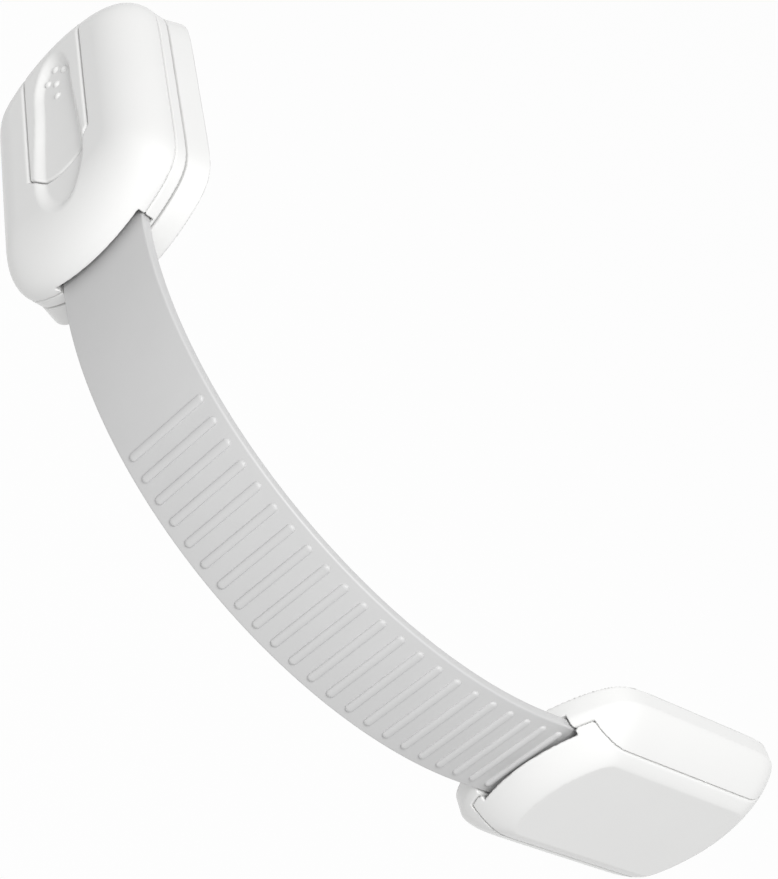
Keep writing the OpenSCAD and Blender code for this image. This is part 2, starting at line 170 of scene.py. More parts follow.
class AnchorSizes(bpy.types.PropertyGroup):
    """Anchor housing with the hinged lid"""
    height: length("Height", 11.4, "Height over the furniture")
    strap_height: length("Strap height", 5.5, "Height of the strap's outer face")
    shoulder: length("Shoulder", 4.3, "Height at which the shoulders begin")
    edge: length("Edge", 8.5, "Width of the sloping edge round the flat top")
    front: length("Front", 4, "Extra length of the slope at the strap end")
    brow: length("Brow", 7, "How much the slope over the strap's mouth is shortened")
    power: FloatProperty(name="Roundness", description="1 is a flat bevel and 2 an ellipse",
                         default=1.3, min=1.0, max=4.0)
    lid_width: length("Lid width", 27, "Width of the lid set into the anchor")
    pin: length("Pin", 1.8, "Diameter of the lid's hinge pin")


class LatchSizes(bpy.types.PropertyGroup):
    """Latch housing with the sliding head and the release button"""
    height: length("Height", 15.6, "Height over the furniture")
    base_top: length("Base", 5, "Height of the top of the base")
    flare: length("Flare", 1.2, "Spread of the base's foot past the outline")
    floor: length("Carrier floor", 0.65, "Thickness of the carrier under the strap")
    band: length("Band", 2.3, "Height of the visible band of the carrier")
    edge: length("Edge", 8.4, "Width of the rounded edge of the cover")
    front: length("Front", 5, "Extra length of the rounding at the strap end")
    brow: length("Brow", 0, "How much the rounding over the strap's mouth is shortened")
    power: FloatProperty(name="Roundness", description="2 is an ellipse", default=2.0,
                         min=1.0, max=4.0)
    button_width: length("Button width", 14.8, "Width of the release button")
    button_front: length("Button front", 19, "Distance of the button from the strap end")
    button_round: length("Button radius", 9.7, "Radius of the button's front")
    dish: length("Dish", 1.2, "Depth of the finger dish")
    dot: length("Dot", 1.5, "Diameter of one grip dot")


class FinishColours(bpy.types.PropertyGroup):
    """Colours of the finishes"""
    shell: colour("Shell", "#F1F1F0", "White of the moulded shells")
    strap: colour("Strap", "#D0D0D0", "Grey of the soft strap")
    foam: colour("Foam", "#C9CAC8", "Foam of the adhesive pads")
    steel: colour("Steel", "#B9BBBE", "Wire of the hinge pin")
    acetal: colour("Acetal", "#E4E2DA", "Natural plastic of the spring catch")
    floor: colour("Floor", "#FFFFFF", "Floor and background")


def in_mm(group):
    """A property group's values by name, with its lengths in millimetres."""
    found = {}
    for key, prop in group.bl_rna.properties.items():
        if prop.type in {"FLOAT", "INT"}:
            value = getattr(group, key)
            found[key] = value / MM if prop.subtype == "DISTANCE" else value
    return SimpleNamespace(**found)


def size_anchor(h, s, a):
    """Adds what follows inside the anchor: the strap's channel, and the lid's seat and hinge."""
    # Plastic under the hinge's barrel and round its pin, and room over the strap's ribs
    under_barrel, round_pin, over_ribs = 2.0, 1.3, 0.8
    a.barrel = (a.height - h.pad - under_barrel) / 2
    a.hinge = (h.along - TURN_GAP - a.barrel, a.height - a.barrel)
    a.floor = a.strap_height - s.thick - SEAT_GAP
    a.ledge = a.strap_height + SEAT_GAP
    a.lid_low = a.ledge + PART_GAP
    a.lid_half = a.lid_width / 2
    a.seat_half = a.lid_half + PART_GAP
    a.lip = a.strap_height + s.rib_height + over_ribs
    a.hollow_end = a.hinge[0] - a.barrel - h.wall
    # Both faces of a hinge lug, from the middle, and how far lugs stand proud of the far end
    a.lug = (3.2, 5.2)
    a.lug_radius = a.pin / 2 + round_pin
    a.lug_proud = 0.25
    # The lid's teeth stand with some play between the ribs, from the fourth rib to near the mouth
    start, mouth_clear, play = 3, 7, 0.8
    a.first_rib = s.tail - s.rib_start
    a.teeth = range(start, int((a.first_rib - mouth_clear) / s.rib_pitch - 0.5) + 1)
    a.tooth = s.rib_pitch - s.rib_width - play
    a.grip = s.rib_length / 2


def size_latch(h, s, c):
    """Adds what follows inside the latch: its layers, rails, catch, posts, button and dish."""
    # Floor and skin of base and button, room over the strap, and gap between nested walls
    base_floor, button_skin, over_strap, nested = 1.2, 1.1, 1.1, 0.45
    # Where the deck and the pivot lie between the band and the top, and the button's turn
    deck_share, pivot_share, press = 0.17, 0.44, math.radians(4)
    c.band_low = c.base_top + SEAT_GAP
    c.band_top = c.band_low + c.band
    c.strap_floor = c.band_low + c.floor
    c.strap_height = c.strap_floor + PART_GAP + s.thick
    c.slot = c.strap_height + over_strap
    c.base_floor = h.pad + base_floor
    c.deck = c.band_top + deck_share * (c.height - c.band_top)
    c.deck_inset = h.wall + nested
    c.wall_v = c.band_top + 0.6
    # A step under the band makes the shadow line over the base
    c.step_in, c.step_up = 0.8, 0.15

    # T rails: half width of the stem and the head, and where they lie beside the strap
    c.rail_stem, c.rail_head, beside_strap = 1.2, 2.2, 0.9
    c.rail_at = s.cut + beside_strap + c.rail_head
    c.rail_u = (8, h.along - 9)
    c.rail_v = (c.band_low + 1.0, c.band_low + 1.8)

    c.catch_half, c.catch_thick = 3.5, 1.0
    c.catch_root, c.catch_tip = (14, 22), h.along - 6
    c.catch_top = c.base_top - PART_GAP
    c.tooth, c.tooth_rise = (h.along - 15, h.along - 9), 1.5
    c.pocket = c.catch_half + PART_GAP

    # Posts that hold the strap's two holes: their place, and the radii of peg, bore and boss
    c.post_at = (9.9, 5)
    c.peg, c.peg_bore, c.boss = 1.55, 1.7, 3.0
    c.peg_low = c.strap_floor - 0.3
    c.boss_top = c.height - h.wall - 1.6

    c.button_half = c.button_width / 2
    c.inner_half = c.button_half - 0.4
    c.plate = c.height - c.dish - button_skin
    c.pivot = (c.button_front + 5, c.height - pivot_share * (c.height - c.band_top))
    c.pivot_radius = 1.2
    c.ear_reach, c.ear_thick = 2.4, 1.6
    # Both faces of a cheek that carries the pivot, from the middle
    c.cheek = (c.button_half + nested, c.button_half + 2.25)
    c.cheek_reach, c.cheek_top = 4.8, c.height - h.wall - 0.1
    c.pusher_u, c.pusher_half = (c.tooth[1] - 3.4, c.tooth[1] - 0.8), 2.2
    # How far the button's far end falls when it is pressed
    c.button_fall = (h.along - c.pivot[0]) * math.sin(press)
    c.button_lip = c.band_top + c.button_fall + 2 * TURN_GAP
    # Opening under the button's far end, and the wall that stands behind it
    c.rear_from, c.back_from, c.back_inset = h.along - 4.6, h.along - 8.8, 6.2

    # Finger dish: where its straight part runs, how long its round ends are and how wide it is
    c.dish_u, c.dish_ends = (20.0, h.along - 17.0), (12.0, 9.5)
    c.dish_half, c.dish_widens, c.dish_wall = 5.0, 1.5, 0.32
    # Grip dots: two abreast, and three along the middle
    at, apart = h.along - 15, 2.1
    c.dots = [(at + apart, -apart), (at + apart, apart),
              *((at + k * apart, 0) for k in (-1.65, 0, 2))]
    c.dot_rise = 0.5


def sizes():
    """Every size of the lock in millimetres, with the places that follow from them."""
    scene = bpy.context.scene
    h, s = in_mm(scene.lock_housing), in_mm(scene.lock_strap)
    a, c = in_mm(scene.lock_anchor), in_mm(scene.lock_latch)
    h.half = h.width / 2
    # How deep inside the outline its corners stay round, and how tight they are
    h.round_from, h.round_power = 16.0, 11.75
    h.pad_waist = 0.12
    s.cut = s.width / 2 + 0.4
    size_anchor(h, s, a)
    size_latch(h, s, c)

    s.bend_at = (-h.along / 2 - s.lead, s.bend_radius - a.strap_height)
    s.along_latch = (-math.cos(s.bend), math.sin(s.bend))
    s.out_latch = (-math.sin(s.bend), -math.cos(s.bend))
    reach = s.bend_radius - c.strap_height
    s.latch_at = [s.bend_at[k] + s.out_latch[k] * reach - s.along_latch[k] * s.mouth_seat
                  for k in (0, 1)]
    return SimpleNamespace(housing=h, strap=s, anchor=a, latch=c)


def anchor_place(size):
    """Axes and origin that take the anchor's u, w, v to the row frame, in metres."""
    axes = np.array([[1, 0, 0], [0, 0, 1], [0, -1, 0]]) * MM
    return axes, np.array([-size.housing.along / 2, 0, 0]) * MM


def latch_place(size):
    """Axes and origin that take the latch's u, w, v to the row frame, in metres."""
    s = size.strap
    axes = np.array([[*s.along_latch, 0], [0, 0, -1], [*s.out_latch, 0]]) * MM
    return axes, np.array([*s.latch_at, 0]) * MM


def both(a, b, r=SOFT):
    """Where two fields are both solid, with the edge between them rounded."""
    corner = np.hypot(np.maximum(a + r, 0), np.maximum(b + r, 0))
    return np.minimum(np.maximum(a, b), -r) + corner


def cut(a, b, r=SOFT):
    """One field with another taken out of it."""
    return both(a, -b, r)


def weld(a, b, r=SOFT):
    """Two fields joined, with a fillet between them."""
    corner = np.hypot(np.maximum(r - a, 0), np.maximum(r - b, 0))
    return np.maximum(np.minimum(a, b), r) - corner


def block(p, low, high, r=SHARP):
    """A box from one corner to the other with rounded edges."""
    middle = [(b + a) / 2 for a, b in zip(low, high)]
    half = [(b - a) / 2 - r for a, b in zip(low, high)]
    q = [np.abs(x - m) - d for x, m, d in zip(p, middle, half)]
    outside = np.sqrt(sum(np.maximum(x, 0) ** 2 for x in q))
    return outside + np.minimum(np.maximum(np.maximum(q[0], q[1]), q[2]), 0) - r


def bar(p, place, radius, half, r=SHARP):
    """A round bar across the housing."""
    return both(np.hypot(p[0] - place[0], p[2] - place[1]) - radius, np.abs(p[1]) - half, r)


def stubs(p, place, radius, faces):
    """Two round stubs across the housing, one on each side of the middle."""
    w = np.abs(p[1])
    ends = np.maximum(faces[0] - w, w - faces[1])
    return both(np.hypot(p[0] - place[0], p[2] - place[1]) - radius, ends, SHARP)


def posts(p, place, radius, low, high):
    """Two round posts, one on each side of the middle."""
    ends = np.maximum(low - p[2], p[2] - high)
    return both(np.hypot(p[0] - place[0], np.abs(p[1]) - place[1]) - radius, ends, SHARP)


def mirrored(p):
    """The same points with both sides of the housing folded onto one."""
    return p[0], np.abs(p[1]), p[2]


def eased(share):
    """A share from 0 to 1 that starts and ends gently."""
    return share * share * (3 - 2 * share)


def plan_depth(p, h):
    """How far inside a housing's outline points lie, with corners that stay round further in."""
    u, w = np.minimum(p[0], h.along - p[0]), np.abs(p[1])
    end = np.maximum(h.round_from - h.end_radius + np.hypot(h.end_radius - u, w), 0)
    side = np.maximum(h.round_from - h.half + w, 0)
    most = np.maximum(np.maximum(end, side), SHARP)
    n = h.round_power
    return h.round_from - most * ((end / most) ** n + (side / most) ** n) ** (1 / n)


def slab(p, h, inset, low, high, r=SOFT):
    """The housing's plan between two heights."""
    return both(inset - plan_depth(p, h), np.maximum(low - p[2], p[2] - high), r)


def rolled_in(p, h, form, inset, steps=8, ease=0.77):
    """How far up a housing's rolled edge points lie: 0 at the wall and 1 on the flat top."""
    reach = form.edge - inset
    x = (plan_depth(p, h) - inset) / reach
    most = form.front - np.where(p[0] < h.along / 2, form.brow, 0)
    for _ in range(steps):
        push = most * np.clip(x, 0, 1)
        square = (p[0] - push) / (1 - push / h.along), p[1]
        found = (plan_depth(square, h) - inset) / reach
        x = x + ease * (found - x)
    return np.minimum(x, 1)


def pillow(p, h, low, form, wall_v, top, inset=0.0, heart=0.3):
    """A housing's rounded body: upright walls, then an edge that rolls in to a flat top.

    Deep inside, at the heart, the field is level, because only its surface counts.
    """
    reach, rise, n = form.edge - inset, top - wall_v, form.power
    a = np.maximum(1 - rolled_in(p, h, form, inset), 0)
    b = np.maximum((p[2] - wall_v) / rise, 0)
    g = (a ** n + b ** n) ** (1 / n)
    core = np.maximum(g, heart)
    slope = np.hypot(a ** (n - 1) / reach, b ** (n - 1) / rise) / core ** (n - 1)
    least = 0.5 / (reach + rise)
    body = np.where(g > heart, (g - 1) / np.maximum(slope, least), (heart - 1) * rise)
    return both(body, low - p[2])


def beside(at, across, steps):
    """The cells that lie so many steps back from edges of a grid."""
    cell = at.copy()
    cell[:, across] -= steps
    return tuple(cell.T)


def quads_through(values, low, pitch):
    """Points and quads of the zero level in a grid, one point in each cell that it crosses."""
    inside = values < 0
    cells = np.array(values.shape) - 1
    total, hits = np.zeros((*cells, 3)), np.zeros(cells, int)
    edges = []
    for axis in range(3):
        first, last = [slice(None)] * 3, [slice(None)] * 3
        first[axis], last[axis] = slice(0, -1), slice(1, None)
        first, last = tuple(first), tuple(last)
        at = np.argwhere(inside[first] != inside[last])
        below, above = values[first][tuple(at.T)], values[last][tuple(at.T)]
        point = at.astype(float)
        point[:, axis] += below / (below - above)
        across = [(axis + 1) % 3, (axis + 2) % 3]
        for steps in np.ndindex(2, 2):
            cell = beside(at, across, steps)
            np.add.at(total, cell, point)
            np.add.at(hits, cell, 1)
        edges.append((across, at, inside[first][tuple(at.T)]))
    number = np.full(cells, -1)
    number[hits > 0] = np.arange(np.count_nonzero(hits))
    faces = []
    for across, at, solid_first in edges:
        ring = ((1, 1), (0, 1), (0, 0), (1, 0))
        quad = np.stack([number[beside(at, across, steps)] for steps in ring], 1)
        quad[~solid_first] = quad[~solid_first][:, ::-1]
        faces.append(quad)
    points = total[hits > 0] / hits[hits > 0][:, None] * pitch + low
    return points, np.concatenate(faces)


def slope_of(field, p, step=0.02):
    """The direction in which a field grows fastest, with its steepness."""
    found = []
    for axis in range(3):
        d = np.zeros((3, 1))
        d[axis] = step
        found.append((field(p + d) - field(p - d)) / (2 * step))
    return np.stack(found)


def linked(name, data):
    """A new object in the scene."""
    obj = bpy.data.objects.new(name, data)
    bpy.context.collection.objects.link(obj)
    return obj


def moulded(name, field, low, high, place, material, pitch, pulls=4, flattest=0.05):
    """A smooth closed mesh of a field between two corners, set in the row frame."""
    low, high = np.array(low, float) - 2 * pitch, np.array(high, float) + 2 * pitch
    axes = [np.arange(a, b + pitch, pitch) for a, b in zip(low, high)]
    values = field(np.meshgrid(*axes, indexing="ij", sparse=True))
    points, faces = quads_through(values, low, pitch)
    # Pull the points onto the surface itself, where the grid only came near it
    p = points.T
    for _ in range(pulls):
        g = slope_of(field, p)
        move = field(p) * g / np.maximum((g * g).sum(0), flattest)
        p = p - np.clip(move, -pitch / 2, pitch / 2)
    g = slope_of(field, p)
    normals = (g / np.maximum(np.sqrt((g * g).sum(0)), 1e-6)).T
    turn, origin = place
    mesh = bpy.data.meshes.new(name)
    mesh.from_pydata((p.T @ turn + origin).tolist(), [], faces.tolist())
    mesh.validate()
    mesh.shade_smooth()
    mesh.normals_split_custom_set_from_vertices((normals @ (turn / MM)).tolist())
    mesh.materials.append(material)
    return linked(name, mesh)


def add(tree, kind, links=None, **settings):
    """A new node with its settings, and its sockets linked or set.

    A node that is given for a socket stands for its first output.
    """
    node = tree.nodes.new(kind)
    for key, value in settings.items():
        setattr(node, key, value)
    for key, value in (links or {}).items():
        if isinstance(value, bpy.types.Node):
            value = value.outputs[0]
        if isinstance(value, bpy.types.NodeSocket):
            tree.links.new(value, node.inputs[key])
        else:
            node.inputs[key].default_value = value
    return node


def new_material(name):
    """An empty material, with its node tree."""
    made = bpy.data.materials.new(name)
    made.use_nodes = True
    made.node_tree.nodes.clear()
    return made, made.node_tree


def shade(rgb, amount):
    """A colour made darker or lighter by a share."""
    return [*(min(c * amount, 1.0) for c in rgb), 1.0]


def made_once(name, colour_key):
    """Turns a function that draws a finish into one that makes its material once."""
    def wrap(draw):
        def material():
            made = bpy.data.materials.get(name)
            if made is None:
                made, tree = new_material(name)
                place = add(tree, "ShaderNodeTexCoord").outputs["Object"]
                draw(tree, place, getattr(bpy.context.scene.lock_colours, colour_key))
            return made
        return material
    return wrap


def surface(tree, rgb, pattern, tones, roughness, relief, strength, depth, **settings):
    """Ends a finish: its tone and roughness follow one pattern, and its relief another.

    The two tones are shares of the colour, and the relief's depth is in millimetres. A single
    roughness is set as it is, and a pair is the range that the pattern moves it through.
    """
    tone = add(tree, "ShaderNodeMix",
               {0: pattern, 6: shade(rgb, tones[0]), 7: shade(rgb, tones[1])}, data_type="RGBA")
    if isinstance(roughness, tuple):
        roughness = add(tree, "ShaderNodeMapRange",
                        {"Value": pattern, "To Min": roughness[0], "To Max": roughness[1]})
    bump = add(tree, "ShaderNodeBump",
               {"Height": relief, "Strength": strength, "Distance": depth * MM})
    seen = add(tree, "ShaderNodeBsdfPrincipled", {
        "Base Color": tone.outputs[2], "Roughness": roughness, "Normal": bump, **settings})
    add(tree, "ShaderNodeOutputMaterial", {"Surface": seen})


@made_once("moulded_white_abs", "shell")
def moulded_abs(tree, place, rgb):
    """White ABS from a polished mould: clean gloss, with a faint waviness and slow sink marks."""
    # Cooling leaves patches of about 11 mm that differ slightly in tone and gloss
    patches = add(tree, "ShaderNodeTexNoise",
                  {"Vector": place, "Scale": 1 / (11 * MM), "Detail": 2.0})
    # Waviness of a polished tool, about 1.6 mm from crest to crest
    peel = add(tree, "ShaderNodeTexNoise",
               {"Vector": place, "Scale": 1 / (1.6 * MM), "Detail": 1.0})
    surface(tree, rgb, patches, tones=(0.985, 1.01), roughness=(0.2, 0.27),
            relief=peel, strength=0.25, depth=0.006, IOR=1.53)


@made_once("moulded_grey_tpe", "strap")
def soft_tpe(tree, place, rgb):
    """Grey thermoplastic rubber, moulded matt: a dull even sheen with a fine eroded grain."""
    # Flow of the melt shows as clouds of about 7 mm
    clouds = add(tree, "ShaderNodeTexNoise",
                 {"Vector": place, "Scale": 1 / (7 * MM), "Detail": 3.0})
    # The real grain is about 0.05 mm; it is drawn at 0.3 mm so that it shows
    grain = add(tree, "ShaderNodeTexNoise",
                {"Vector": place, "Scale": 1 / (0.3 * MM), "Detail": 2.0})
    surface(tree, rgb, clouds, tones=(0.97, 1.02), roughness=(0.4, 0.5),
            relief=grain, strength=0.35, depth=0.01, **{"IOR": 1.49, "Sheen Weight": 0.05})


@made_once("acrylic_foam_tape", "foam")
def foam_tape(tree, place, rgb):
    """Closed-cell acrylic foam with a glossy adhesive skin: pale cells under a slight tack."""
    # Cells are 0.2 mm across and drawn at 0.6 mm so that they show
    cells = add(tree, "ShaderNodeTexVoronoi", {"Vector": place, "Scale": 1 / (0.6 * MM)})
    surface(tree, rgb, cells, tones=(0.9, 1.05), roughness=0.6,
            relief=cells, strength=0.5, depth=0.08, IOR=1.47)


@made_once("drawn_steel_wire", "steel")
def drawn_steel(tree, place, rgb):
    """Drawn stainless wire: bright, with fine draw lines along its length."""
    # Draw lines 0.15 mm apart run the length of the wire
    along = add(tree, "ShaderNodeMapping", {"Vector": place, "Scale": (1.0, 1.0, 0.03)})
    lines = add(tree, "ShaderNodeTexNoise", {"Vector": along, "Scale": 1 / (0.15 * MM)})
    surface(tree, rgb, lines, tones=(0.85, 1.1), roughness=(0.24, 0.42),
            relief=lines, strength=0.3, depth=0.01, Metallic=1.0)


@made_once("natural_acetal", "acetal")
def natural_acetal(tree, place, rgb):
    """Uncoloured acetal: milky and waxy, with light that sinks in a little."""
    # Milky clouds of about 3 mm
    clouds = add(tree, "ShaderNodeTexNoise",
                 {"Vector": place, "Scale": 1 / (3 * MM), "Detail": 2.0})
    surface(tree, rgb, clouds, tones=(0.95, 1.02), roughness=(0.3, 0.4),
            relief=clouds, strength=0.2, depth=0.02,
            **{"IOR": 1.48, "Subsurface Weight": 0.15, "Subsurface Scale": 1.0 * MM})


def fitted(obj, body, node):
    """Sets a piece on its body, in place of its plain solid."""
    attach(obj, body)
    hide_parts(node)


def white_shell(node, body, field, low, high, place, pitch=PITCH):
    """Moulds one white shell and sets it on its body, in place of its plain solid."""
    shell = moulded(f"{node}_shell", field, low, high, place, moulded_abs(), pitch)
    fitted(shell, body, node)


class LOCK_OT_pads(bpy.types.Operator):
    """Builds the two adhesive foam pads"""
    bl_idname = "lock.pads"
    bl_label = "Foam pads"

    def execute(self, context):
        size = sizes()
        h = size.housing

        def field(p):
            # Cut foam draws in a little at the middle of its edge
            waist = h.pad_waist * (1 - (2 * p[2] / h.pad - 1) ** 2)
            return slab(p, h, h.pad_inset, 0, h.pad, h.pad_waist) + waist

        for node, body, place in (("anchor_pad", "anchor", anchor_place(size)),
                                  ("latch_pad", "latch_mount", latch_place(size))):
            pad = moulded(f"{node}_foam", field, (0, -h.half, 0), (h.along, h.half, h.pad),
                          place, foam_tape(), PAD_PITCH)
            fitted(pad, body, node)
        return {"FINISHED"}


def anchor_body(p, size, inset=0.0, drop=0.0, low=None):
    """The anchor's outer form, or its inside when an inset and a drop are given."""
    h, a = size.housing, size.anchor
    return pillow(p, h, h.pad if low is None else low, a, a.shoulder, a.height - drop, inset)


class LOCK_OT_anchor_base(bpy.types.Operator):
    """Builds the anchor's base with the strap channel and the lid's seat"""
    bl_idname = "lock.anchor_base"
    bl_label = "Anchor base"

    def execute(self, context):
        size = sizes()
        h, s, a = size.housing, size.strap, size.anchor

        def field(p):
            skin = anchor_body(p, size)
            channel = block(p, (-FAR, -s.cut, a.floor), (s.tail + OVERRUN, s.cut, FAR))
            seat = block(p, (-FAR, -a.seat_half, a.ledge), (FAR, a.seat_half, FAR))
            solid = cut(cut(skin, channel, CRISP), seat, EASED)
            solid = cut(solid, bar(p, a.hinge, a.barrel + TURN_GAP, a.seat_half), CRISP)
            lug = stubs(p, a.hinge, a.lug_radius, a.lug)
            lug = both(lug, skin - a.lug_proud, CRISP)
            foot = block(mirrored(p), (a.hinge[0] - a.lug_radius, a.lug[0], h.pad),
                         (a.hinge[0] + a.lug_radius, a.lug[1], a.hinge[1]))
            solid = weld(solid, np.minimum(lug, foot), CRISP)
            return cut(solid, bar(p, a.hinge, a.pin / 2 + RUN_GAP, a.lug[1] + OVERRUN), FINE)

        white_shell("anchor_base", "anchor", field, (0, -h.half, h.pad),
                    (h.along, h.half, a.height), anchor_place(size))
        return {"FINISHED"}


class LOCK_OT_anchor_lid(bpy.types.Operator):
    """Builds the hinged lid with the teeth that grip the strap"""
    bl_idname = "lock.anchor_lid"
    bl_label = "Anchor lid"

    def execute(self, context):
        size = sizes()
        h, s, a = size.housing, size.strap, size.anchor

        def field(p):
            arm = block(p, (-FAR, -a.lid_half, a.lid_low), (a.hinge[0], a.lid_half, FAR))
            arm = np.minimum(arm, bar(p, a.hinge, a.barrel, a.lid_half))
            solid = both(anchor_body(p, size), arm, EASED)
            hollow = block(p, (0, -a.lid_half + h.wall, 0),
                           (a.hollow_end, a.lid_half - h.wall, a.height))
            hollow = both(anchor_body(p, size, h.wall, h.wall, -FAR), hollow, SHARP)
            clamp = block(p, (a.first_rib - a.teeth.stop * s.rib_pitch, -a.grip, a.lip),
                          (a.first_rib - a.teeth.start * s.rib_pitch, a.grip, a.height))
            solid = cut(solid, cut(hollow, clamp, SHARP), CRISP)
            mouth = block(p, (-FAR, -s.cut, 0), (a.hollow_end, s.cut, a.lip))
            solid = cut(solid, mouth, BLUNT)
            room = block(mirrored(p),
                         (a.hinge[0] - a.lug_radius - TURN_GAP, a.lug[0] - SEAT_GAP, 0),
                         (FAR, a.lug[1] + SEAT_GAP, a.hinge[1] + a.lug_radius + TURN_GAP))
            solid = cut(solid, room, CRISP)
            for k in a.teeth:
                middle = a.first_rib - (k + 0.5) * s.rib_pitch
                fin = block(p, (middle - a.tooth / 2, -a.grip, a.ledge),
                            (middle + a.tooth / 2, a.grip, a.lip + OVERRUN), EASED)
                solid = weld(solid, fin, FINE)
            return cut(solid, bar(p, a.hinge, a.pin / 2, a.lug[1] + SEAT_GAP), KEEN)

        white_shell("anchor_lid", "lid", field, (0, -a.lid_half, a.strap_height),
                    (h.along, a.lid_half, a.height), anchor_place(size), COVER_PITCH)
        return {"FINISHED"}


def strap_path(size):
    """Points along the middle of the strap, from its tail in the anchor to its tongue."""
    s = size.strap
    middle = s.bend_radius - s.thick / 2
    start = (s.bend_at[0] + s.lead + s.tail, s.bend_at[1] - middle)
    points = [start, (s.bend_at[0], s.bend_at[1] - middle)]
    for k in range(1, BEND_STEPS + 1):
        angle = s.bend * k / BEND_STEPS
        points.append((s.bend_at[0] - middle * math.sin(angle),
                       s.bend_at[1] - middle * math.cos(angle)))
    end = points[-1]
    points.append(tuple(end[k] + s.along_latch[k] * s.tongue for k in (0, 1)))
    return [(x * MM, y * MM, 0.0) for x, y in points]


def ribbed_strap_tree():
    """Geometry Nodes that run a rounded band along a path and set ribs on its outer face."""
    tree = bpy.data.node_groups.new("ribbed_strap", "GeometryNodeTree")
    tree.is_modifier = True
    face = tree.interface
    face.new_socket("Path", in_out="INPUT", socket_type="NodeSocketGeometry")
    for name, kind in (("Width", "Float"), ("Thickness", "Float"), ("Edge Radius", "Float"),
                       ("Rib Count", "Int"), ("Rib Pitch", "Float"), ("First Rib", "Float"),
                       ("Rib Width", "Float"), ("Rib Height", "Float"), ("Rib Length", "Float"),
                       ("Finish", "Material")):
        face.new_socket(name, in_out="INPUT", socket_type=f"NodeSocket{kind}")
    face.new_socket("Strap", in_out="OUTPUT", socket_type="NodeSocketGeometry")
    given = add(tree, "NodeGroupInput").outputs

    line = add(tree, "GeometryNodeMeshToCurve", {"Mesh": given["Path"]})
    path = add(tree, "GeometryNodeSetCurveNormal", {"Curve": line}, mode="Z_UP")
    section = add(tree, "GeometryNodeCurvePrimitiveQuadrilateral",
                  {"Width": given["Thickness"], "Height": given["Width"]})
    rounded = add(tree, "GeometryNodeFilletCurve",
                  {"Curve": section, "Count": EDGE_STEPS, "Radius": given["Edge Radius"]},
                  mode="POLY")
    band = add(tree, "GeometryNodeCurveToMesh",
               {"Curve": path, "Profile Curve": rounded, "Fill Caps": True})

    # One rib: a ball stretched to a bar with round ends and flattened to a low mound
    ball = add(tree, "GeometryNodeMeshUVSphere",
               {"Segments": RIB_SEGMENTS, "Rings": RIB_RINGS, "Radius": 1.0})
    here = add(tree, "GeometryNodeInputPosition")
    at = add(tree, "ShaderNodeSeparateXYZ", {0: here}).outputs
    sums = "ShaderNodeMath"
    radius = add(tree, sums, {0: given["Rib Width"], 1: 0.5}, operation="MULTIPLY")
    half = add(tree, sums, {0: given["Rib Length"], 1: 0.5}, operation="MULTIPLY")
    stretch = add(tree, sums, {0: half, 1: radius}, operation="SUBTRACT")
    side = add(tree, sums, {0: at["Z"]}, operation="SIGN")
    end = add(tree, sums, {0: side, 1: stretch}, operation="MULTIPLY")
    up = add(tree, sums, {0: at["Y"]}, operation="SIGN")
    high = add(tree, sums, {0: at["Y"]}, operation="ABSOLUTE")
    full = add(tree, sums, {0: high, 1: RIB_FULLNESS}, operation="POWER")
    mound = add(tree, sums, {0: up, 1: full}, operation="MULTIPLY")
    shape = add(tree, "ShaderNodeCombineXYZ", {
        "X": add(tree, sums, {0: at["X"], 1: radius}, operation="MULTIPLY"),
        "Y": add(tree, sums, {0: mound, 1: given["Rib Height"]}, operation="MULTIPLY"),
        "Z": add(tree, sums, {0: at["Z"], 1: radius, 2: end}, operation="MULTIPLY_ADD")})
    rib = add(tree, "GeometryNodeSetPosition", {"Geometry": ball, "Position": shape})

    # Ribs at even steps along the path, lifted from its middle to the outer face
    spots = add(tree, "GeometryNodePoints", {"Count": given["Rib Count"]})
    order = add(tree, "GeometryNodeInputIndex")
    reach = add(tree, sums, {0: order, 1: given["Rib Pitch"], 2: given["First Rib"]},
                operation="MULTIPLY_ADD")
    sample = add(tree, "GeometryNodeSampleCurve", {"Curves": path, "Length": reach},
                 mode="LENGTH", use_all_curves=True).outputs
    across = add(tree, "ShaderNodeVectorMath", {0: (0.0, 0.0, 1.0), 1: sample["Tangent"]},
                 operation="CROSS_PRODUCT")
    outward = add(tree, sums, {0: given["Thickness"], 1: 0.5}, operation="MULTIPLY")
    lift = add(tree, "ShaderNodeVectorMath", {0: across, "Scale": outward}, operation="SCALE")
    spot = add(tree, "ShaderNodeVectorMath", {0: sample["Position"], 1: lift})
    placed = add(tree, "GeometryNodeSetPosition", {"Geometry": spots, "Position": spot})
    turned = add(tree, "FunctionNodeAxesToRotation",
                 {"Primary Axis": (0.0, 0.0, 1.0), "Secondary Axis": sample["Tangent"]},
                 primary_axis="Z", secondary_axis="X")
    ribs = add(tree, "GeometryNodeInstanceOnPoints",
               {"Points": placed, "Instance": rib, "Rotation": turned})
    parts = add(tree, "GeometryNodeJoinGeometry", {0: band})
    tree.links.new(ribs.outputs[0], parts.inputs[0])
    real = add(tree, "GeometryNodeRealizeInstances", {0: parts})
    finished = add(tree, "GeometryNodeSetMaterial",
                   {"Geometry": real, "Material": given["Finish"]})
    add(tree, "NodeGroupOutput", {0: finished})
    return tree


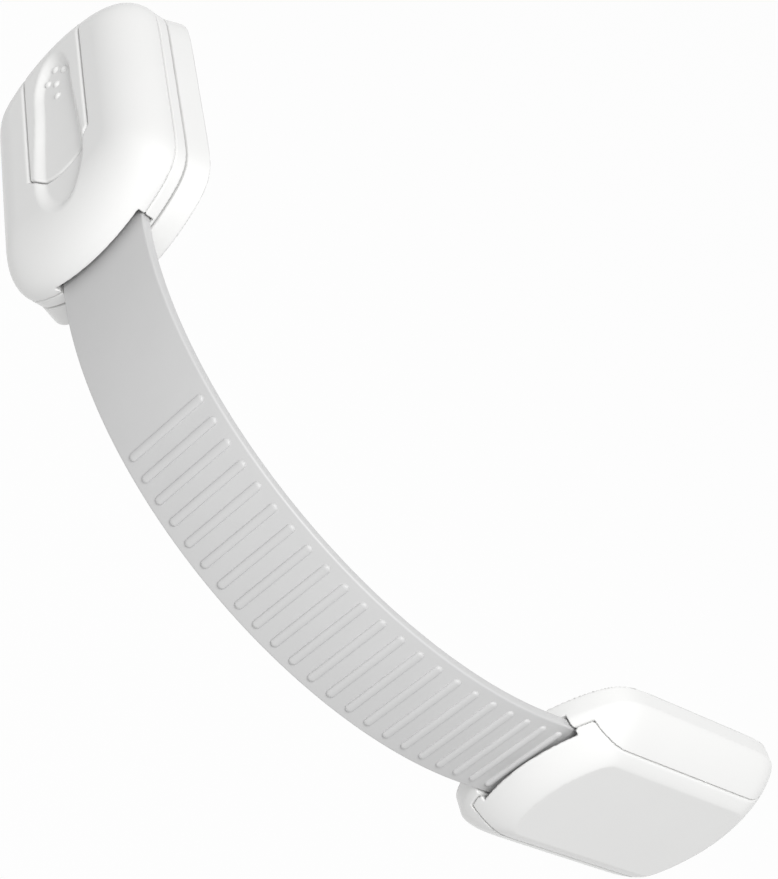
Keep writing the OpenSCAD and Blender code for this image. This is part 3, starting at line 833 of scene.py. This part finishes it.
class LOCK_OT_strap(bpy.types.Operator):
    """Builds the ribbed strap, which bends between the two housings"""
    bl_idname = "lock.strap"
    bl_label = "Strap"

    def execute(self, context):
        size = sizes()
        s = size.strap
        points = strap_path(size)
        line = bpy.data.meshes.new("strap_path")
        line.from_pydata(points, [(k, k + 1) for k in range(len(points) - 1)], [])
        path = linked("strap_path", line)
        tree = ribbed_strap_tree()
        made = path.modifiers.new("ribbed_strap", "NODES")
        made.node_group = tree
        given = {"Width": s.width, "Thickness": s.thick, "Edge Radius": s.edge,
                 "Rib Pitch": s.rib_pitch, "First Rib": s.rib_start, "Rib Width": s.rib_width,
                 "Rib Height": s.rib_height, "Rib Length": s.rib_length}
        given = {name: value * MM for name, value in given.items()}
        given.update({"Rib Count": s.rib_count, "Finish": soft_tpe()})
        for item in tree.interface.items_tree:
            if item.name in given:
                made[item.identifier] = given[item.name]
        context.view_layer.update()
        solved = path.evaluated_get(context.evaluated_depsgraph_get())
        mesh = bpy.data.meshes.new_from_object(solved)
        mesh.name = "strap_ribbed"
        bpy.data.objects.remove(path)
        if not mesh.polygons:
            raise RuntimeError("the strap's node tree made no faces")
        mesh.shade_smooth()
        strap = linked("strap_ribbed", mesh)
        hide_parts("strap")
        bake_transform(strap)
        return {"FINISHED"}


def rails(p, c, low, end, gap, r):
    """Stem and head of the two T rails, or of their grooves when a gap is given."""
    parts = ((c.rail_stem, low, SHARP), (c.rail_head, c.rail_v[0] - gap, r))
    return [block(mirrored(p), (c.rail_u[0] - gap, c.rail_at - half - gap, foot),
                  (end, c.rail_at + half + gap, c.rail_v[1] + gap), edge)
            for half, foot, edge in parts]


class LOCK_OT_latch_base(bpy.types.Operator):
    """Builds the latch's stuck-down base with its two rails"""
    bl_idname = "lock.latch_base"
    bl_label = "Latch base"

    def execute(self, context):
        size = sizes()
        h, c = size.housing, size.latch
        foot = c.base_floor - SUNK
        outer = c.pocket + h.wall
        stop_at = c.catch_root[0] - PART_GAP

        def field(p):
            spread = c.flare * np.clip((c.base_top - p[2]) / (c.base_top - h.pad), 0, 1)
            solid = both(slab(p, h, -spread, h.pad, FAR, BLUNT), p[2] - c.base_top, CRISP)
            solid = cut(solid, slab(p, h, h.wall, c.base_floor, FAR, SHARP), BROKEN)
            cheek = block(mirrored(p), (c.catch_root[0], c.pocket, foot),
                          (c.catch_root[1], outer, c.base_top))
            stop = block(p, (stop_at - h.wall, -outer, foot), (stop_at, outer, c.base_top))
            for extra in (*rails(p, c, foot, c.rail_u[1], 0, EASED), cheek, stop):
                solid = weld(solid, extra, FINE)
            return solid

        white_shell("latch_base", "latch_mount", field, (-c.flare, -h.half - c.flare, h.pad),
                    (h.along + c.flare, h.half + c.flare, c.rail_v[1]), latch_place(size),
                    FINE_PITCH)
        return {"FINISHED"}


class LOCK_OT_latch_carrier(bpy.types.Operator):
    """Builds the carrier of the sliding head, which holds the strap's tongue"""
    bl_idname = "lock.latch_carrier"
    bl_label = "Latch carrier"

    def execute(self, context):
        size = sizes()
        h, s, c = size.housing, size.strap, size.latch
        catch_half = c.catch_half + TURN_GAP
        rear_half = c.button_half + SLIT_GAP

        def field(p):
            solid = np.minimum(slab(p, h, 0, c.band_low + c.step_up, c.band_top, CRISP),
                               slab(p, h, c.step_in, c.band_low, c.band_top))
            solid = np.minimum(solid, slab(p, h, c.deck_inset, c.band_low, c.deck, BROKEN))
            grooves = rails(p, c, -FAR, FAR, SLIDE_GAP, SHARP)
            tongue = block(p, (-FAR, -s.cut, c.strap_floor),
                           (s.mouth_seat + s.tongue + OVERRUN, s.cut, FAR))
            window = block(p, (c.tooth[0] - 2 * TURN_GAP, -catch_half, -FAR),
                           (c.tooth[1] + PART_GAP, catch_half, FAR))
            rear = block(p, (c.rear_from, -rear_half, c.band_top), (FAR, rear_half, FAR))
            for room in (*grooves, tongue, window, rear):
                solid = cut(solid, room, SHARP)
            pegs = posts(p, c.post_at, c.peg, c.peg_low, c.deck + h.wall - PART_GAP)
            back = slab(p, h, c.back_inset, c.deck - PART_GAP,
                        c.plate - c.button_fall - TURN_GAP, CRISP)
            back = both(back, block(p, (c.back_from, -c.inner_half, 0),
                                    (h.along, c.inner_half, c.height)), CRISP)
            return np.minimum(np.minimum(solid, pegs), back)

        white_shell("latch_carrier", "latch_head", field, (0, -h.half, c.band_low),
                    (h.along, h.half, c.height), latch_place(size), FINE_PITCH)
        return {"FINISHED"}


def dish_depth(p, size):
    """Depth of the long finger dish at each point of the cover's plan, widest near the strap."""
    c = size.latch
    near, far = c.dish_u
    half = c.dish_half + c.dish_widens * eased(np.clip((far - p[0]) / (far - near), 0, 1))
    along = (np.maximum((near - p[0]) / c.dish_ends[0], 0)
             + np.maximum((p[0] - far) / c.dish_ends[1], 0))
    return c.dish * eased(np.clip((1 - np.hypot(along, p[1] / half)) / c.dish_wall, 0, 1))


def cover_body(p, size):
    """The cover's outer form with the finger dish pressed into it."""
    h, c = size.housing, size.latch
    return pillow(p, h, c.band_top, c, c.wall_v, c.height) + dish_depth(p, size)


def button_plan(p, size, gap):
    """The button's outline in plan, open at the far end, with a gap all round."""
    c = size.latch
    middle = c.button_front + c.button_round
    sides = np.abs(p[1]) - (c.button_half + gap)
    nose = np.hypot(p[0] - c.button_front - c.button_round, p[1]) - c.button_round - gap
    return np.maximum(np.where(p[0] < middle, nose, sides), sides)


class LOCK_OT_latch_cover(bpy.types.Operator):
    """Builds the cover of the sliding head, with the slit round the button"""
    bl_idname = "lock.latch_cover"
    bl_label = "Latch cover"

    def execute(self, context):
        size = sizes()
        h, s, c = size.housing, size.strap, size.latch
        # The dish shows on the cover's inside too, but shallower
        dish_inside = 0.4

        def field(p):
            inside = pillow(p, h, -FAR, c, c.wall_v, c.height - h.wall, h.wall)
            inside = inside + dish_inside * dish_depth(p, size)
            solid = cut(cover_body(p, size), inside, SHARP)
            slit = np.maximum(button_plan(p, size, SLIT_GAP), c.band_top + TURN_GAP - p[2])
            solid = cut(solid, slit, ROUND)
            mouth = block(p, (-FAR, -s.cut, -FAR), (2 * h.wall + c.front, s.cut, c.slot))
            solid = cut(solid, mouth, EASED)
            cheek = block(mirrored(p), (c.pivot[0] - c.cheek_reach, c.cheek[0], c.deck + TURN_GAP),
                          (c.pivot[0] + c.cheek_reach, c.cheek[1], c.cheek_top))
            cheek = cut(cheek, bar(p, c.pivot, c.pivot_radius + RUN_GAP, h.half), SHARP)
            boss = cut(posts(p, c.post_at, c.boss, c.strap_height + SEAT_GAP, c.boss_top),
                       posts(p, c.post_at, c.peg_bore, -FAR, c.deck + h.wall), SHARP)
            return np.minimum(np.minimum(solid, cheek), boss)

        white_shell("latch_cover", "latch_head", field, (0, -h.half, c.band_top),
                    (h.along, h.half, c.height), latch_place(size), COVER_PITCH)
        return {"FINISHED"}


class LOCK_OT_release_button(bpy.types.Operator):
    """Builds the release button with its grip dots, pivot and pusher"""
    bl_idname = "lock.release_button"
    bl_label = "Release button"

    def execute(self, context):
        size = sizes()
        h, c = size.housing, size.latch
        # Radius of the ball whose cap makes a dot
        crown = ((c.dot / 2) ** 2 + c.dot_rise ** 2) / (2 * c.dot_rise)
        ear_in = c.inner_half - c.ear_thick
        pusher_low = c.catch_top + c.tooth_rise + TURN_GAP

        def field(p):
            solid = both(cover_body(p, size), button_plan(p, size, 0), ROUND)
            inside = pillow(p, h, -FAR, c, c.wall_v, c.plate + c.dish, h.wall)
            solid = cut(solid, inside + dish_depth(p, size), SHARP)
            solid = cut(solid, p[2] - c.button_lip, CRISP)
            for u, w in c.dots:
                top = c.height - dish_depth(np.array([[u], [w], [0.0]]), size)[0]
                rise = p[2] - top + crown - c.dot_rise
                ball = np.sqrt((p[0] - u) ** 2 + (p[1] - w) ** 2 + rise ** 2) - crown
                solid = weld(solid, ball, KEEN)
            ear = block(mirrored(p),
                        (c.pivot[0] - c.ear_reach, ear_in, c.pivot[1] - c.pivot_radius),
                        (c.pivot[0] + c.ear_reach, c.inner_half, c.plate + SUNK))
            pivot = stubs(p, c.pivot, c.pivot_radius, (ear_in, c.cheek[1]))
            pusher = block(p, (c.pusher_u[0], -c.pusher_half, pusher_low),
                           (c.pusher_u[1], c.pusher_half, c.plate + SUNK))
            return np.minimum(np.minimum(solid, ear), np.minimum(pivot, pusher))

        white_shell("release_button", "button", field, (0, -c.cheek[1], c.catch_top),
                    (h.along, c.cheek[1], c.height), latch_place(size), FINE_PITCH)
        return {"FINISHED"}


class LOCK_OT_spring_catch(bpy.types.Operator):
    """Builds the spring catch with its ramped tooth, which the button's pusher would press down;
    it is set on the base
    """
    bl_idname = "lock.spring_catch"
    bl_label = "Spring catch"

    def execute(self, context):
        size = sizes()
        c = size.latch
        half, thick = c.catch_half, c.catch_thick
        start, end = c.catch_root
        first, last = c.tooth
        tooth_top = c.catch_top + c.tooth_rise
        rise = c.tooth_rise / (last - thick - first)

        def field(p):
            root = block(p, (start, -half, c.base_floor), (end, half, c.catch_top))
            leaf = block(p, (start, -half, c.catch_top - thick), (c.catch_tip, half, c.catch_top),
                         CRISP)
            tooth = block(p, (first, -half, c.catch_top - thick / 2), (last, half, tooth_top),
                          CRISP)
            ramp = (p[2] - c.catch_top - rise * (p[0] - first)) / math.hypot(1, rise)
            return weld(np.minimum(root, leaf), both(tooth, ramp, CRISP), FINE)

        axes, origin = place = latch_place(size)
        catch = moulded("spring_catch_leaf", field, (start, -half, c.base_floor),
                        (c.catch_tip, half, tooth_top), place, natural_acetal(), FINE_PITCH)
        fitted(catch, "latch_mount", "spring_catch")
        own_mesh(catch)
        return {"FINISHED"}


class LOCK_OT_hinge_pin(bpy.types.Operator):
    """Gives the lid's hinge pin its finish"""
    bl_idname = "lock.hinge_pin"
    bl_label = "Hinge pin"

    def execute(self, context):
        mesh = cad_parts["lid_pin"].data
        mesh.materials.clear()
        mesh.materials.append(drawn_steel())
        return {"FINISHED"}


def seen_straight(tree):
    """1 for rays from the camera and those that gloss or clear plastic sends on, or else 0."""
    rays = add(tree, "ShaderNodeLightPath").outputs
    seen = rays["Is Camera Ray"]
    for name in ("Is Glossy Ray", "Is Transmission Ray"):
        seen = add(tree, "ShaderNodeMath", {0: seen, 1: rays[name]}, operation="MAXIMUM")
    return seen


def white_ground(rgb):
    """Matt white floor: white to the eye, and it still takes a soft shadow."""
    made, tree = new_material("matt_white_floor")
    matt = add(tree, "ShaderNodeBsdfDiffuse", {"Color": shade(rgb, FLOOR_TONE)})
    glow = add(tree, "ShaderNodeEmission", {"Color": shade(rgb, 1.0), "Strength": 1.0})
    share = add(tree, "ShaderNodeMath", {0: seen_straight(tree), 1: FLOOR_GLOW},
                operation="MULTIPLY")
    mixed = add(tree, "ShaderNodeMixShader", {0: share, 1: matt, 2: glow})
    add(tree, "ShaderNodeOutputMaterial", {"Surface": mixed})
    return made


def white_studio(rgb):
    """White surroundings, which light the lock more softly than they look."""
    world = bpy.data.worlds.new("white_studio")
    world.use_nodes = True
    tree = world.node_tree
    tree.nodes.clear()
    soft = add(tree, "ShaderNodeBackground",
               {"Color": shade(rgb, 1.0), "Strength": SURROUND_LIGHT})
    white = add(tree, "ShaderNodeBackground", {"Color": shade(rgb, 1.0), "Strength": 1.0})
    mixed = add(tree, "ShaderNodeMixShader", {0: seen_straight(tree), 1: soft, 2: white})
    add(tree, "ShaderNodeOutputWorld", {"Surface": mixed})
    return world


class LOCK_OT_stage(bpy.types.Operator):
    """Builds the floor, the white surroundings, the soft light and the camera"""
    bl_idname = "lock.stage"
    bl_label = "Stage"

    def execute(self, context):
        scene = context.scene
        scene.view_settings.view_transform = "Standard"
        rgb = scene.lock_colours.floor
        mesh = bpy.data.meshes.new("floor")
        corners = ((-1, -1), (1, -1), (1, 1), (-1, 1))
        mesh.from_pydata([(x * FLOOR_HALF, y * FLOOR_HALF, FLOOR_LEVEL) for x, y in corners],
                         [], [(0, 1, 2, 3)])
        mesh.materials.append(white_ground(rgb))
        floor = linked("floor", mesh)
        scene.world = white_studio(rgb)

        lamp = bpy.data.lights.new("key_above", "AREA")
        lamp.shape, lamp.size, lamp.energy = "SQUARE", KEY_SIDE, KEY_POWER
        key = linked("key_above", lamp)
        key.location = KEY_PLACE
        sight = Vector(KEY_AIM) - Vector(KEY_PLACE)
        key.rotation_euler = sight.to_track_quat("-Z", "Y").to_euler()

        lens = bpy.data.cameras.new("photo_camera")
        lens.lens = CAMERA_LENS
        lens.clip_start, lens.clip_end = CAMERA_CLIP
        camera = linked("photo_camera", lens)
        camera.location = CAMERA_PLACE
        camera.rotation_euler = [math.radians(x) for x in CAMERA_TURN]
        scene.camera = camera
        return {"FINISHED"}


PIECES = (LOCK_OT_pads, LOCK_OT_anchor_base, LOCK_OT_anchor_lid, LOCK_OT_strap,
          LOCK_OT_latch_base, LOCK_OT_latch_carrier, LOCK_OT_latch_cover, LOCK_OT_release_button,
          LOCK_OT_spring_catch, LOCK_OT_hinge_pin, LOCK_OT_stage)
GROUPS = (("lock_housing", HousingSizes), ("lock_strap", StrapSizes),
          ("lock_anchor", AnchorSizes), ("lock_latch", LatchSizes),
          ("lock_colours", FinishColours))


class LOCK_PT_sidebar(bpy.types.Panel):
    """Lists the pieces of the lock"""
    bl_idname = "LOCK_PT_sidebar"
    bl_label = "Cabinet lock"
    bl_space_type = "VIEW_3D"
    bl_region_type = "UI"
    bl_category = "Cabinet lock"

    def draw(self, context):
        for piece in PIECES:
            self.layout.operator(piece.bl_idname)
        for key, group in GROUPS:
            box = self.layout.box()
            box.label(text=group.bl_rna.description)
            for name in group.__annotations__:
                box.prop(getattr(context.scene, key), name)


def register():
    for key, group in GROUPS:
        bpy.utils.register_class(group)
        setattr(bpy.types.Scene, key, PointerProperty(type=group))
    for made in (*PIECES, LOCK_PT_sidebar):
        bpy.utils.register_class(made)


def unregister():
    for made in (LOCK_PT_sidebar, *reversed(PIECES)):
        bpy.utils.unregister_class(made)
    for key, group in reversed(GROUPS):
        delattr(bpy.types.Scene, key)
        bpy.utils.unregister_class(group)


def main():
    register()
    for piece in PIECES:
        area, name = piece.bl_idname.split(".")
        getattr(getattr(bpy.ops, area), name)()


if __name__ == "__main__":
    main()
